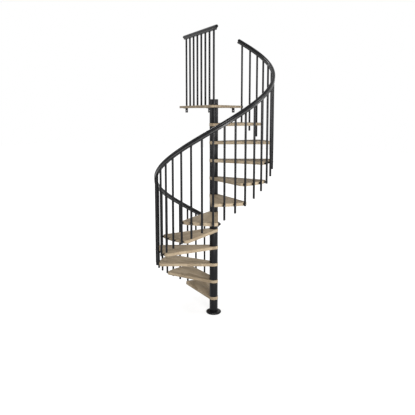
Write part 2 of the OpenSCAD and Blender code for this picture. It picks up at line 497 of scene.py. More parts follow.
@dataclass(frozen=True)
class CoatedSteel:
    """Satin black powder coat with a fine orange peel."""

    name: str = "black_powder_coat"
    base: Colour = (0.006, 0.006, 0.007, 1.0)
    worn: Colour = (0.010, 0.010, 0.011, 1.0)
    cloud_scale: float = 7.0
    rub_scale: float = 55.0
    peel_scale: float = 850.0
    peel_depth: float = 0.0003
    peel_strength: float = 0.25
    roughness: float = 0.30
    specular: float = 0.16

    def material(self) -> bpy.types.Material:
        """Makes the coat, laid out in Object coordinates.

        Returns:
            The material.
        """
        bench = Bench(bpy.data.materials.new(self.name))
        place = bench.object_place()
        cloud = bench.noise(place, self.cloud_scale, detail=4.0, rough=0.6)
        peel = bench.noise(place, self.peel_scale, detail=2.0, rough=0.5)
        rub = bench.band(bench.noise(place, self.rub_scale, detail=5.0, rough=0.7), 0.58, 0.74)
        wear = bench.band(cloud, 0.3, 0.7) * 0.7 + rub * 0.3
        return bench.surface({
            "Base Color": bench.blend(wear, self.base, self.worn),
            "Roughness": self.roughness + cloud * 0.10 + rub * 0.06,
            "Specular IOR Level": self.specular,
            "Normal": bench.bump(peel, self.peel_depth, self.peel_strength),
        })


@dataclass(frozen=True)
class RailPlastic:
    """Black extruded plastic with a soft sheen, a fine moulded texture and a painted highlight line along the
    groove.
    """

    name: str = "black_rail_plastic"
    base: Colour = (0.006, 0.006, 0.007, 1.0)
    handled: Colour = (0.010, 0.010, 0.011, 1.0)
    # Painted highlight: a lighter grey line laid along the groove, standing in for light caught there.
    painted_highlight: Colour = (0.070, 0.070, 0.070, 1.0)
    cloud_scale: float = 11.0
    grain_scale: float = 1400.0
    grain_depth: float = 0.0002
    grain_strength: float = 0.2
    roughness: float = 0.28
    specular: float = 0.14

    def material(self) -> bpy.types.Material:
        """Makes the plastic, laid out in Object coordinates.

        Returns:
            The material.
        """
        bench = Bench(bpy.data.materials.new(self.name))
        place = bench.object_place()
        grain = bench.noise(place, self.grain_scale, detail=2.0, rough=0.5)
        polish = bench.band(bench.noise(place, self.cloud_scale, detail=4.0, rough=0.6), 0.35, 0.65)
        skin = bench.blend(polish, self.base, self.handled)
        return bench.surface({
            # The groove mask blends the painted highlight line into the base colour.
            "Base Color": bench.blend(bench.attribute("groove")[2], skin, self.painted_highlight),
            "Roughness": self.roughness - polish * 0.08,
            "Specular IOR Level": self.specular,
            "Normal": bench.bump(grain, self.grain_depth, self.grain_strength),
        })


@dataclass(frozen=True)
class ScrewSteel:
    """Blackened steel of the small screws."""

    name: str = "blackened_screw"
    base: Colour = (0.060, 0.060, 0.064, 1.0)
    bright: Colour = (0.130, 0.130, 0.135, 1.0)
    scuff_scale: float = 420.0
    roughness: float = 0.42

    def material(self) -> bpy.types.Material:
        """Makes the steel, laid out in Object coordinates.

        Returns:
            The material.
        """
        bench = Bench(bpy.data.materials.new(self.name))
        cloud = bench.noise(bench.object_place(), self.scuff_scale, detail=4.0, rough=0.65)
        scuff = bench.band(cloud, 0.45, 0.7)
        return bench.surface({
            "Base Color": bench.blend(scuff, self.base, self.bright),
            "Metallic": 1.0,
            "Roughness": self.roughness - scuff * 0.14,
        })


# Meshes


def polar(radius: float, degrees: float) -> Point2:
    """Returns the plan point at a radius and a direction."""
    angle = math.radians(degrees)
    return radius * math.cos(angle), radius * math.sin(angle)


def arc(centre: Point2, radius: float, start: float, end: float, steps: int) -> list[Point2]:
    """Draws an arc.

    Args:
        centre: The arc's centre.
        radius: The arc's radius.
        start: The first direction in degrees.
        end: The last direction in degrees.
        steps: The number of chords.

    Returns:
        The points, both ends included.
    """
    points = []
    for i in range(steps + 1):
        x, y = polar(radius, start + (end - start) * i / steps)
        points.append((centre[0] + x, centre[1] + y))
    return points


def circle(centre: Point2, radius: float, flats: int) -> list[Point2]:
    """Returns the corners of a round with that many flats."""
    return arc(centre, radius, 0.0, FULL_TURN, flats)[:-1]


def turned_about_z(degrees: float) -> Matrix:
    """Returns the turn about the Z axis."""
    return Matrix.Rotation(math.radians(degrees), 4, "Z")


def finish_mesh(bm: bmesh.types.BMesh, name: str) -> bpy.types.Mesh:
    """Turns a bmesh into a mesh with soft shading and crisp corners.

    Args:
        bm: The shape, which is freed.
        name: The mesh's name.

    Returns:
        The mesh.
    """
    mesh = bpy.data.meshes.new(name)
    bmesh.ops.recalc_face_normals(bm, faces=bm.faces)
    bm.to_mesh(mesh)
    bm.free()
    mesh.shade_smooth()
    mesh.set_sharp_from_angle(angle=math.radians(CRISP_ANGLE))
    return mesh


def place_piece(name: str, mesh: bpy.types.Mesh, finish: bpy.types.Material, slot: Slot,
                *nodes: str) -> bpy.types.Object:
    """Adds a finished piece to the scene and ties it to the frame.

    Args:
        name: The piece's name.
        mesh: Its mesh, already in place.
        finish: Its material.
        slot: The record's material slot; not used.
        nodes: The CAD nodes that it stands for.

    Returns:
        The piece.
    """
    piece = bpy.data.objects.new(name, mesh)
    bpy.context.scene.collection.objects.link(piece)
    mesh.materials.clear()
    mesh.materials.append(finish)
    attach(piece, BODY)
    if nodes:
        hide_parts(*nodes)
    LOG.info("%s: %d faces", name, len(mesh.polygons))
    return piece


def level_ring(bm: bmesh.types.BMesh, points: list[Point2], height: float) -> Ring:
    """Returns the new points of a level ring."""
    return [bm.verts.new((x, y, height)) for x, y in points]


def join_rings(bm: bmesh.types.BMesh, rings: list[Ring], closed: bool = False) -> None:
    """Joins rings of points with quads.

    Args:
        bm: The shape.
        rings: Rings of equal length, in order.
        closed: True if the last ring joins the first.
    """
    pairs = list(zip(rings, rings[1:]))
    if closed:
        pairs.append((rings[-1], rings[0]))
    for low, high in pairs:
        count = len(low)
        for i in range(count):
            bm.faces.new((low[i], low[(i + 1) % count], high[(i + 1) % count], high[i]))


def solid_of_rings(bm: bmesh.types.BMesh, rings: list[Ring]) -> None:
    """Joins rings with quads and fills the first and the last one flat.

    Args:
        bm: The shape.
        rings: Rings of equal length, in order.
    """
    join_rings(bm, rings)
    bm.faces.new(rings[0])
    bm.faces.new(rings[-1])


def cap_with_hole(bm: bmesh.types.BMesh, outer: Ring, inner: Ring) -> None:
    """Fills the flat ring between an outline and a hole with triangles.

    Args:
        bm: The shape.
        outer: The outline's points, in order.
        inner: The hole's points, in order.
    """
    edges = []
    for ring in (outer, inner):
        for vert, after in zip(ring, ring[1:] + ring[:1]):
            edges.append(bm.edges.get((vert, after)) or bm.edges.new((vert, after)))
    bmesh.ops.triangle_fill(bm, use_beauty=True, use_dissolve=False, edges=edges)


class Outline:
    """A plan whose points can be drawn in from its edge."""

    def points(self, inset: float) -> list[Point2]:
        """Returns the plan's points, moved inwards by an inset."""
        raise NotImplementedError


def board(outline: Outline, thickness: float, hole: float, soft: float) -> bmesh.types.BMesh:
    """Builds a flat board with rounded edges and a round hole at the origin.

    Args:
        outline: Gives the plan at an inset.
        thickness: The board's thickness, from z 0 up.
        hole: The hole's radius.
        soft: The radius of the rounded edges.

    Returns:
        The board.
    """
    hole_flats = 48
    edge_steps = 4
    bm = bmesh.new()
    section = arc((0.0, soft), soft, 270.0, 180.0, edge_steps)
    section += arc((0.0, thickness - soft), soft, 180.0, 90.0, edge_steps)
    rings = [level_ring(bm, outline.points(soft + x), height) for x, height in section]
    join_rings(bm, rings)
    holes = [level_ring(bm, circle(ORIGIN, hole, hole_flats), height) for height in (0.0, thickness)]
    join_rings(bm, holes)
    cap_with_hole(bm, rings[0], holes[0])
    cap_with_hole(bm, rings[-1], holes[1])
    return bm


# The rule of the flight


@dataclass(frozen=True)
class Flight:
    """The rule that every tread, baluster and rail follows, in metres and degrees."""

    tread_count: int = 11
    rise: float = 0.235
    turn: float = 29.85
    wedge: float = 27.5
    tread_radius: float = 0.738
    tread_thickness: float = 0.040
    eye_radius: float = 0.059
    bore_radius: float = 0.0305
    sleeve_radius: float = 0.056
    per_tread: int = 3
    standoff: float = 0.030
    baluster_radius: float = 0.0135
    baluster_span: float = 1.148
    landing_direction: float = 86.0
    landing_reach: float = 0.705
    landing_thickness: float = 0.032

    @property
    def landing_height(self) -> float:
        """Height of the landing's top."""
        return (self.tread_count + 1) * self.rise

    @property
    def ring_radius(self) -> float:
        """Radius of the circle on which the balusters stand."""
        return self.tread_radius + self.standoff

    @property
    def space_turn(self) -> float:
        """Turn from one baluster to the next."""
        return self.turn / self.per_tread

    @property
    def space_rise(self) -> float:
        """Rise from one baluster to the next."""
        return self.rise / self.per_tread

    @property
    def slope(self) -> float:
        """Slope of the handrail in degrees."""
        return math.degrees(math.atan(self.space_rise / (self.ring_radius * math.radians(self.space_turn))))

    @property
    def first_foot(self) -> float:
        """Height of the first baluster's foot."""
        return self.rise - self.tread_thickness - (self.per_tread - 1) * self.space_rise

    @property
    def baluster_count(self) -> int:
        """Number of balusters along the flight."""
        return self.tread_count * self.per_tread

    def rear_direction(self, step: int) -> float:
        """Returns the direction of a tread's upstairs side."""
        return self.landing_direction + self.wedge - (self.tread_count + 1 - step) * self.turn

    def baluster_direction(self, number: float) -> float:
        """Returns the direction of a baluster, counted from 0."""
        return self.rear_direction(1) + (number - self.per_tread + 1) * self.space_turn

    def nodes(self, kind: str) -> list[str]:
        """Returns the CAD nodes of a kind, one for each tread."""
        return [f"{kind}_{step:02d}" for step in range(1, self.tread_count + 1)]


# Wood


@dataclass(frozen=True)
class TreadOutline(Outline):
    """Plan of a tread with its middle along +X: two sides that touch the eye, a curved outer edge."""

    flight: Flight
    corner: float = 0.040
    outer_steps: int = 28
    corner_steps: int = 6
    eye_steps: int = 22

    def points(self, inset: float) -> list[Point2]:
        """Draws the plan.

        Args:
            inset: How far the points lie inside the tread's edge.

        Returns:
            The plan's points.
        """
        half = self.flight.wedge / 2.0
        side = half + 90.0
        across = self.flight.eye_radius - self.corner
        reach = self.flight.tread_radius - self.corner
        along = math.sqrt(reach * reach - across * across)
        turn = half + math.degrees(math.atan2(across, along))
        radius = self.corner - inset
        points = arc(ORIGIN, self.flight.tread_radius - inset, -turn, turn, self.outer_steps)
        points += arc(polar(reach, turn), radius, turn, side, self.corner_steps)[1:]
        points += arc(ORIGIN, self.flight.eye_radius - inset, side, FULL_TURN - side, self.eye_steps)
        points += arc(polar(reach, -turn), radius, -side, -turn, self.corner_steps)[:-1]
        return points


@dataclass(frozen=True)
class LandingOutline(Outline):
    """Plan of the landing: the front edge of a tread, a straight far edge, and a back edge to the eye."""

    flight: Flight
    far_edge: float = 1.003
    corner: float = 0.003
    corner_steps: int = 8
    eye_steps: int = 24

    def corners(self) -> tuple[Vector, Vector]:
        """Works out where the edges would meet without rounding.

        Returns:
            The front corner and the back corner of the far edge.
        """
        direction = self.flight.landing_direction
        eye = self.flight.eye_radius
        length = math.sqrt(self.flight.landing_reach ** 2 - eye ** 2)
        front = Vector(polar(eye, direction - 90.0)) + Vector(polar(length, direction))
        return front, front - Vector((self.far_edge, 0.0))

    def back_direction(self) -> float:
        """Works out how the back edge lies.

        Returns:
            Its direction in degrees, from the eye outwards.
        """
        back = self.corners()[1]
        toward = math.degrees(math.atan2(back.y, back.x))
        return toward - math.degrees(math.asin(self.flight.eye_radius / back.length))

    def points(self, inset: float) -> list[Point2]:
        """Draws the plan.

        Args:
            inset: How far the points lie inside the landing's edge.

        Returns:
            The plan's points.
        """
        front, back = self.corners()
        ahead = self.flight.landing_direction
        behind = self.back_direction()
        radius = self.corner - inset
        points = arc(self.fillet(front, ahead, 180.0), radius, ahead - 90.0, 90.0, self.corner_steps)
        points += arc(self.fillet(back, 0.0, behind), radius, 90.0, behind + 90.0, self.corner_steps)
        eye = self.flight.eye_radius - inset
        points += arc(ORIGIN, eye, behind + 90.0, ahead + 270.0, self.eye_steps)
        return points

    def fillet(self, corner: Vector, *directions: float) -> Point2:
        """Finds the centre of a corner's rounding.

        Args:
            corner: The sharp corner.
            directions: The directions of its two edges.

        Returns:
            The centre, inside the board and a rounding away from both edges.
        """
        inward = []
        for direction in directions:
            square = Vector(polar(1.0, direction + 90.0))
            inward.append(-square if square.dot(corner) > 0.0 else square)
        first, second = inward
        centre = corner + (first + second) * (self.corner / (1.0 + first.dot(second)))
        return centre.x, centre.y


@dataclass(frozen=True)
class Woodwork:
    """The treads and the landing board."""

    flight: Flight
    wood: bpy.types.Material
    soft_edge: float = 0.004
    landing_edge: float = 0.0025
    grain_shift: Point3 = (0.731, 0.613, 0.29)

    def lay(self, mesh: bpy.types.Mesh, number: int, place: Matrix, node: str) -> None:
        """Gives a board its grain, brings it to its place and ties it to the frame.

        Args:
            mesh: The board, in its own plan with the grain along X.
            number: The board's number, so that no two boards match.
            place: Where the board lies.
            node: The CAD node that it stands for.
        """
        shift = Vector([number * share for share in self.grain_shift])
        grain = mesh.attributes.new("grain", "FLOAT_VECTOR", "POINT")
        for vert, value in zip(mesh.vertices, grain.data):
            value.vector = vert.co + shift
        mesh.transform(place)
        piece = place_piece(mesh.name, mesh, self.wood, Slot.WOOD, node)
        flat_faces = piece.modifiers.new("flat_faces", "WEIGHTED_NORMAL")
        flat_faces.keep_sharp = True

    def tread(self, step: int) -> None:
        """Builds one tread.

        Args:
            step: The tread's number, counted from 1 at the bottom.
        """
        flight = self.flight
        bm = board(TreadOutline(flight), flight.tread_thickness, flight.bore_radius, self.soft_edge)
        lift = Matrix.Translation((0.0, 0.0, step * flight.rise - flight.tread_thickness))
        place = lift @ turned_about_z(flight.rear_direction(step) - flight.wedge / 2.0)
        self.lay(finish_mesh(bm, f"tread_wood_{step:02d}"), step, place, f"tread_{step:02d}")

    def landing(self) -> None:
        """Builds the landing board."""
        flight = self.flight
        bm = board(LandingOutline(flight), flight.landing_thickness, flight.bore_radius, self.landing_edge)
        place = Matrix.Translation((0.0, 0.0, flight.landing_height - flight.landing_thickness))
        self.lay(finish_mesh(bm, "landing_wood"), flight.tread_count + 1, place, "landing_board")

    def build(self) -> None:
        """Builds every board."""
        for step in range(1, self.flight.tread_count + 1):
            self.tread(step)
        self.landing()


# Pole


@dataclass(frozen=True)
class Pole:
    """The flange, the sleeves between the treads, and the pole's end with its cap."""

    flight: Flight
    steel: bpy.types.Material
    flange_radius: float = 0.103
    flange_thickness: float = 0.030
    roll_start: float = -62.0
    end_height: float = 0.074
    cap_thickness: float = 0.008
    cap_rim: float = 0.004
    rim: float = 0.0012
    roll_steps: int = 14
    cap_steps: int = 6
    rim_steps: int = 3
    flats: int = 96

    def turned(self, name: str, node: str, profiles: list[list[Point2]], bored: bool = True) -> None:
        """Turns profiles about the pole's axis into one piece.

        Args:
            name: The piece's name.
            node: The CAD node that it stands for.
            profiles: Points of radius and height, in order round each section.
            bored: True if the last point joins the first; otherwise both ends are filled flat.
        """
        bm = bmesh.new()
        for profile in profiles:
            rings = [level_ring(bm, circle(ORIGIN, radius, self.flats), height) for radius, height in profile]
            if bored:
                join_rings(bm, rings, True)
            else:
                solid_of_rings(bm, rings)
        place_piece(name, finish_mesh(bm, name), self.steel, Slot.STEEL, node)

    def sleeve(self, low: float, high: float) -> list[Point2]:
        """Draws the section of a sleeve whose outer rims are rounded.

        Args:
            low: The lower end.
            high: The upper end.

        Returns:
            Points of radius and height.
        """
        bore = self.flight.bore_radius
        reach = self.flight.sleeve_radius - self.rim
        lower = arc((reach, low + self.rim), self.rim, -90.0, 0.0, self.rim_steps)
        upper = arc((reach, high - self.rim), self.rim, 0.0, 90.0, self.rim_steps)
        return [(bore, low)] + lower + upper + [(bore, high)]

    def flange(self) -> None:
        """Builds the floor flange with its rolled edge."""
        roll = self.flange_thickness / 2.0
        rim = arc((self.flange_radius - roll, roll), roll, self.roll_start, 90.0, self.roll_steps)
        bore = self.flight.bore_radius
        profile = [(bore, 0.0), (rim[0][0], 0.0)] + rim + [(bore, self.flange_thickness)]
        self.turned("floor_flange", "base_flange", [profile])

    def sleeves(self) -> None:
        """Builds the sleeves that hold the treads apart."""
        flight = self.flight
        lows = [self.flange_thickness] + [step * flight.rise for step in range(1, flight.tread_count + 1)]
        highs = [step * flight.rise - flight.tread_thickness for step in range(1, flight.tread_count + 1)]
        highs.append(flight.landing_height - flight.landing_thickness)
        profiles = [self.sleeve(low, high) for low, high in zip(lows, highs)]
        self.turned("pole_sleeves", "spacer_sleeves", profiles)

    def top(self) -> None:
        """Builds the pole's end above the landing and its cap."""
        low = self.flight.landing_height
        radius = self.flight.sleeve_radius
        seat = low + self.end_height - self.cap_thickness
        self.turned("pole_end", "top_sleeve", [self.sleeve(low, seat)])
        edge = arc((radius - self.cap_rim, seat + self.cap_rim), self.cap_rim, 0.0, 90.0, self.cap_steps)
        self.turned("pole_end_cap", "pole_cap", [[(radius, seat)] + edge], False)

    def build(self) -> None:
        """Builds every piece of the pole."""
        self.flange()
        self.sleeves()
        self.top()


# Balusters and their fixings


@dataclass(frozen=True)
class Balusters:
    """The balusters of the flight, cut at the top to the rail's slope."""

    flight: Flight
    steel: bpy.types.Material
    rail_drop: float
    rim: float = 0.0015
    plug_wall: float = 0.0035
    plug_sink: float = 0.0016
    plug_bevel: float = 0.001
    rim_steps: int = 3
    flats: int = 32

    def post(self, length: float, slope: float, name: str) -> bpy.types.Mesh:
        """Builds one baluster with its foot at the origin.

        Args:
            length: Height of the axis at the cut.
            slope: Slope of the cut, in degrees, rising along +Y.
            name: The mesh's name.

        Returns:
            The baluster.
        """
        radius = self.flight.baluster_radius
        plug = radius - self.plug_wall
        lean = math.tan(math.radians(slope))
        section = [(plug, self.plug_sink), (plug + self.plug_bevel, 0.0)]
        section += arc((radius - self.rim, self.rim), self.rim, -90.0, 0.0, self.rim_steps)
        bm = bmesh.new()
        rings = [level_ring(bm, circle(ORIGIN, reach, self.flats), height) for reach, height in section]
        cut = [(x, y, length + lean * y) for x, y in circle(ORIGIN, radius, self.flats)]
        rings.append([bm.verts.new(point) for point in cut])
        solid_of_rings(bm, rings)
        return finish_mesh(bm, name)

    def build(self, array: GeometryTree) -> None:
        """Builds the balusters of the flight.

        Args:
            array: The helix array.
        """
        flight = self.flight
        cut = flight.baluster_span - self.rail_drop / math.cos(math.radians(flight.slope))
        mesh = array.make("flight_balusters", self.post(cut, flight.slope, "baluster"), {
            "Count": flight.baluster_count, "Radius": flight.ring_radius,
            "First Turn": math.radians(flight.baluster_direction(0)), "Turn": math.radians(flight.space_turn),
            "First Height": flight.first_foot, "Rise": flight.space_rise,
            "Group": 1, "Group Rise": 0.0, "Finish": self.steel,
        }, CRISP_ANGLE)
        place_piece("flight_balusters", mesh, self.steel, Slot.STEEL, *flight.nodes("balusters"))


@dataclass(frozen=True)
class Bosses:
    """The bosses that hold the balusters off the treads, their screws, and the landing's bracket."""

    flight: Flight
    steel: bpy.types.Material
    screw_steel: bpy.types.Material
    boss_radius: float = 0.011
    boss_root: float = 0.010
    boss_flats: int = 28
    head_radius: float = 0.0055
    head_height: float = 0.0032
    head_sink: float = 0.0012
    head_flats: int = 18
    head_shape: tuple[Point2, ...] = ((1.0, 0.0), (1.0, 0.5), (0.86, 0.82), (0.62, 1.0))
    socket_share: float = 0.46
    socket_floor: float = 0.4
    plate_width: float = 0.040
    plate_thickness: float = 0.005
    arm_width: float = 0.022
    ring_wall: float = 0.0065
    ring_play: float = 0.0002
    ring_flats: int = 32
    ring_steps: int = 28
    bracket_rim: float = 0.001
    bracket_bend: float = 50.0
    landing_margin: float = 0.002

    def boss(self) -> bpy.types.Mesh:
        """Builds one boss along +X, hollowed at its end to the baluster's round.

        Returns:
            The boss, with the wood's edge at x 0 and its axis on z 0.
        """
        bm = bmesh.new()
        flight = self.flight
        root = []
        seat = []
        for y, z in circle(ORIGIN, self.boss_radius, self.boss_flats):
            hollow = math.sqrt(flight.baluster_radius ** 2 - y ** 2)
            root.append(bm.verts.new((-self.boss_root, y, z)))
            seat.append(bm.verts.new((flight.standoff - hollow, y, z)))
        solid_of_rings(bm, [root, seat])
        return finish_mesh(bm, "boss")

    def screw(self) -> bpy.types.Mesh:
        """Builds the round screw head on a baluster's outer side, with its hexagon socket.

        Returns:
            The head, facing +X, with the wood's edge at x 0 and its axis on z 0.
        """
        bm = bmesh.new()
        seat = self.flight.standoff + self.flight.baluster_radius - self.head_sink
        socket = ((self.socket_share, 1.0), (self.socket_share, self.socket_floor))
        rings = []
        for share, lift in self.head_shape + socket:
            ring = []
            for i in range(self.head_flats):
                turn = FULL_TURN * i / self.head_flats
                flat = 1.0
                if share == self.socket_share:
                    flat = math.cos(math.radians(turn % HEXAGON_TURN - HEXAGON_TURN / 2.0))
                y, z = polar(self.head_radius * share / flat, turn)
                ring.append(bm.verts.new((seat + self.head_height * lift, y, z)))
            rings.append(ring)
        solid_of_rings(bm, rings)
        return finish_mesh(bm, "screw")

    def array(self, tree: GeometryTree, name: str, source: bpy.types.Mesh, corner: bool,
              finish: bpy.types.Material) -> bpy.types.Mesh:
        """Repeats a piece at the balusters.

        Args:
            tree: The helix array.
            name: The result's name.
            source: The piece, with the wood's edge at x 0.
            corner: True for the front corners, which hold the last baluster of the tread below.
            finish: The piece's material.

        Returns:
            The repeated pieces.
        """
        flight = self.flight
        first = flight.per_tread - 1 if corner else 0
        level = flight.rise - flight.tread_thickness / 2.0
        return tree.make(name, source, {
            "Count": flight.tread_count - 1 if corner else flight.baluster_count,
            "Radius": flight.tread_radius,
            "First Turn": math.radians(flight.baluster_direction(first)),
            "Turn": math.radians(flight.turn if corner else flight.space_turn),
            "First Height": level + (flight.rise if corner else 0.0),
            "Rise": flight.rise if corner else 0.0,
            "Group": flight.per_tread, "Group Rise": 0.0 if corner else flight.rise, "Finish": finish,
        })

    def landing_bracket(self, far_edge: float) -> None:
        """Builds the bracket from the landing's far edge to the last baluster.

        Args:
            far_edge: The landing's far edge, along Y.
        """
        flight = self.flight
        seat = polar(flight.ring_radius, flight.baluster_direction(flight.baluster_count - 1))
        middle = (0.0, seat[1] - far_edge)
        height = flight.landing_thickness - 2.0 * self.landing_margin
        plate = self.plate_width / 2.0
        arm = self.arm_width / 2.0
        ring = flight.baluster_radius + self.ring_wall
        neck = math.degrees(math.asin(arm / ring))
        outline = [(-plate, 0.0), (plate, 0.0), (plate, self.plate_thickness), (arm, self.plate_thickness)]
        outline += arc(middle, ring, neck - 90.0, 270.0 - neck, self.ring_steps)
        outline += [(-arm, self.plate_thickness), (-plate, self.plate_thickness)]
        hole = circle(middle, flight.baluster_radius + self.ring_play, self.ring_flats)
        bm = bmesh.new()
        walls = [[level_ring(bm, points, z) for z in (0.0, height)] for points in (outline, hole)]
        for wall in walls:
            join_rings(bm, wall)
        for outer, inner in zip(*walls):
            cap_with_hole(bm, outer, inner)
        bmesh.ops.recalc_face_normals(bm, faces=bm.faces)
        bend = math.radians(self.bracket_bend)
        rim = [edge for edge in bm.edges if edge.calc_face_angle(0.0) > bend]
        bmesh.ops.bevel(bm, geom=rim, offset=self.bracket_rim, segments=2, affect="EDGES", profile=0.5)
        mesh = finish_mesh(bm, "landing_corner_bracket")
        base = flight.landing_height - flight.landing_thickness + self.landing_margin
        mesh.transform(Matrix.Translation((seat[0], far_edge, base)))
        place_piece(mesh.name, mesh, self.steel, Slot.STEEL, "landing_baluster_bracket")

    def build(self, tree: GeometryTree, far_edge: float) -> None:
        """Builds every boss and screw, and the landing's bracket.

        Args:
            tree: The helix array.
            far_edge: The landing's far edge, along Y.
        """
        kinds = (("bosses", self.boss, self.steel), ("screws", self.screw, self.screw_steel))
        for kind, make, finish in kinds:
            for place in ("edge", "corner"):
                name = f"{place}_{kind}"
                nodes = self.flight.nodes(kind) if name == "edge_bosses" else []
                mesh = self.array(tree, name, make(), place == "corner", finish)
                place_piece(name, mesh, finish, Slot.STEEL, *nodes)
        self.landing_bracket(far_edge)


# Rails


@dataclass(frozen=True)
class RailSection:
    """Section of both rails: a round grip above, a flat-bottomed carrier below, a groove between."""

    grip_radius: float = 0.021
    height: float = 0.062
    carrier_width: float = 0.036
    carrier_depth: float = 0.012
    corner: float = 0.0045
    throat_angle: float = 50.0
    groove: float = 0.006
    cap_share: float = 0.99
    highlight_share: float = 0.6
    grip_steps: int = 36
    shoulder_steps: int = 4
    corner_steps: int = 5
    cap_rings: int = 9
    cap_flats: int = 32

    @property
    def grip_middle(self) -> float:
        """Height of the grip's middle above the section's middle."""
        return self.height / 2.0 - self.grip_radius

    @property
    def throat(self) -> float:
        """Height of the line where the grip meets the groove."""
        return self.grip_middle - self.grip_radius * math.sin(math.radians(self.throat_angle))

    def carrier(self) -> list[Point2]:
        """Draws the lower lobe of the section.

        Returns:
            Its points, X outwards and Y up from the section's middle.
        """
        side = self.carrier_width / 2.0 - self.corner
        shoulder = self.throat - self.groove
        low = -self.height / 2.0 + self.corner
        points = arc((-side, shoulder), self.corner, 120.0, 180.0, self.shoulder_steps)
        points += arc((-side, low), self.corner, 180.0, 270.0, self.corner_steps)
        points += arc((side, low), self.corner, -90.0, 0.0, self.corner_steps)
        points += arc((side, shoulder), self.corner, 0.0, 60.0, self.shoulder_steps)
        return points

    def mesh(self) -> bpy.types.Mesh:
        """Draws the section as a closed loop of edges, marked where the painted highlight line runs along the
        groove.

        Returns:
            The loop, with Y pointing down as the path wants it.
        """
        centre = (0.0, self.grip_middle)
        throat = self.throat_angle
        points = arc(centre, self.grip_radius, -throat, 180.0 + throat, self.grip_steps) + self.carrier()
        edges = [(i, (i + 1) % len(points)) for i in range(len(points))]
        mesh = bpy.data.meshes.new("rail_section")
        mesh.from_pydata([(x, -y, 0.0) for x, y in points], edges, [])
        # Marks the points of the painted highlight line at the groove.
        highlight_mask = mesh.attributes.new("groove", "FLOAT", "POINT")
        middle = self.throat - self.groove / 2.0
        for (_, y), value in zip(points, highlight_mask.data):
            value.value = 1.0 if abs(y - middle) < self.groove * self.highlight_share else 0.0
        return mesh

    def add_end(self, bm: bmesh.types.BMesh, frame: Matrix, with_carrier: bool) -> None:
        """Adds the rounded end of a rail.

        Args:
            bm: The shape that takes it.
            frame: The rail's end at the middle of the grip, with Z pointing out of the rail.
            with_carrier: True if the lower lobe is rounded too.
        """
        lobes = [(circle(ORIGIN, self.grip_radius, self.cap_flats), 0.0, self.grip_radius)]
        if with_carrier:
            loop = [(x, y - self.grip_middle) for x, y in self.carrier()]
            lobes.append((loop, sum(y for _, y in loop) / len(loop), self.carrier_depth))
        for loop, middle, depth in lobes:
            rings = []
            for i in range(self.cap_rings):
                share, lift = polar(self.cap_share, 90.0 * i / self.cap_rings)
                ring = [(x * share, middle + (y - middle) * share, depth * lift) for x, y in loop]
                rings.append([bm.verts.new(frame @ Vector(point)) for point in ring])
            join_rings(bm, rings)
            bm.faces.new(rings[0])
            crown = bm.verts.new(frame @ Vector((0.0, middle, depth * self.cap_share)))
            for first, second in zip(rings[-1], rings[-1][1:] + rings[-1][:1]):
                bm.faces.new((first, second, crown))


@dataclass(frozen=True)
class Handrail:
    """The helical handrail."""

    flight: Flight
    section: RailSection
    plastic: bpy.types.Material
    lead: float = 1.65
    tail: float = 0.4
    resolution: int = 240

    def build(self) -> None:
        """Builds the handrail along its helix."""
        flight = self.flight
        spaces = self.lead + flight.baluster_count - 1 + self.tail
        start = flight.baluster_direction(-self.lead)
        middle = flight.first_foot + flight.baluster_span - self.lead * flight.space_rise
        mesh = section_sweep(Path.HELIX).make("handrail_profile", self.section.mesh(), {
            "Resolution": self.resolution, "Rotations": spaces * flight.space_turn / FULL_TURN,
            "Radius": flight.ring_radius, "Height": spaces * flight.space_rise,
            "First Turn": Vector((0.0, 0.0, math.radians(start))), "First Place": Vector((0.0, 0.0, middle)),
            "Finish": self.plastic,
        })
        place_piece("handrail_profile", mesh, self.plastic, Slot.RAIL, "handrail")

    def end_frames(self) -> list[Matrix]:
        """Works out where the rail ends.

        Returns:
            The frames of both ends, with Z pointing out of the rail at the middle of the grip.
        """
        flight = self.flight
        tilt = Matrix.Rotation(math.radians(flight.slope), 4, "X")
        grip = Matrix.Translation((0.0, 0.0, self.section.grip_middle))
        lie = Matrix.Rotation(math.radians(90.0), 4, "X")
        frames = []
        for number, flip in ((-self.lead, 0.0), (flight.baluster_count - 1 + self.tail, 180.0)):
            middle = flight.first_foot + flight.baluster_span + number * flight.space_rise
            out = Matrix.Translation((flight.ring_radius, 0.0, middle))
            turned = turned_about_z(flight.baluster_direction(number))
            frames.append(turned @ out @ tilt @ grip @ turned_about_z(flip) @ lie)
        return frames


